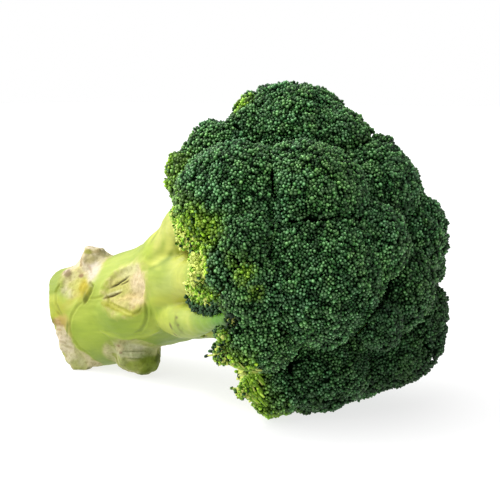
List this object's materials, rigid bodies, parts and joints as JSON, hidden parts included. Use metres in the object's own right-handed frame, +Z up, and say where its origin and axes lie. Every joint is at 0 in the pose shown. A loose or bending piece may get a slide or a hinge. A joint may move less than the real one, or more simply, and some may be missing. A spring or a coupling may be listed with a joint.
{
  "type": "broccoli head",
  "caption": "Fresh broccoli head lying on its side: a domed crown of packed green bud heads on forked branches and a thick, cut, pale green stalk.",
  "frame": {"origin": "on the ground under the middle of the bounding box", "axes": "+X from the cut end of the stalk towards the crown, +Y to the crown's far side, +Z up, with the head lying on its side as it rests on a table"},
  "size_m": [0.1998, 0.1362, 0.1386],
  "materials": {
    "bud_green": "matt, beaded with tiny closed flower buds, blue-green with yellow-green edges",
    "stalk_green": "smooth waxy skin, pale yellow-green with long fibres",
    "branch_green": "smooth waxy skin, pale green, yellower near the buds",
    "leaf_scar": "dry, torn, fibrous, beige with brown fibre ends"
  },
  "bodies": {
    "root": {"branch_bottom": "branch_green", "branch_centre": "branch_green", "branch_far": "branch_green", "branch_far_bottom": "branch_green", "branch_far_face": "branch_green", "branch_far_lower": "branch_green", "branch_lower_face": "branch_green", "branch_near": "branch_green", "branch_near_lower": "branch_green", "branch_rear_top": "branch_green", "branch_top": "branch_green", "branch_upper_near": "branch_green", "bud_head_bottom_face": "bud_green", "bud_head_bottom_far": "bud_green", "bud_head_bottom_large": "bud_green", "bud_head_bottom_near": "bud_green", "bud_head_face_centre": "bud_green", "bud_head_face_far": "bud_green", "bud_head_face_large": "bud_green", "bud_head_face_lower": "bud_green", "bud_head_face_upper": "bud_green", "bud_head_face_upper_far": "bud_green", "bud_head_far_bottom": "bud_green", "bud_head_far_face_lower": "bud_green", "bud_head_far_face_upper": "bud_green", "bud_head_far_lower": "bud_green", "bud_head_far_middle": "bud_green", "bud_head_far_small": "bud_green", "bud_head_far_top": "bud_green", "bud_head_far_upper": "bud_green", "bud_head_lower_far": "bud_green", "bud_head_lower_small": "bud_green", "bud_head_near_lower": "bud_green", "bud_head_near_middle": "bud_green", "bud_head_near_rim": "bud_green", "bud_head_near_small": "bud_green", "bud_head_rear_base": "bud_green", "bud_head_rear_bottom": "bud_green", "bud_head_rear_lower": "bud_green", "bud_head_rear_middle": "bud_green", "bud_head_rear_top": "bud_green", "bud_head_rear_upper": "bud_green", "bud_head_top": "bud_green", "bud_head_top_face": "bud_green", "bud_head_top_rim": "bud_green", "bud_head_upper_near": "bud_green", "bud_head_upper_near_rim": "bud_green", "bud_head_upper_rim": "bud_green", "leaf_stub_centre": "leaf_scar", "leaf_stub_end": "leaf_scar", "leaf_stub_far": "leaf_scar", "leaf_stub_lower": "leaf_scar", "leaf_stub_upper": "leaf_scar", "side_branch": "branch_green", "small_floret": "bud_green", "stalk": "stalk_green"}
  },
  "joints": []
}
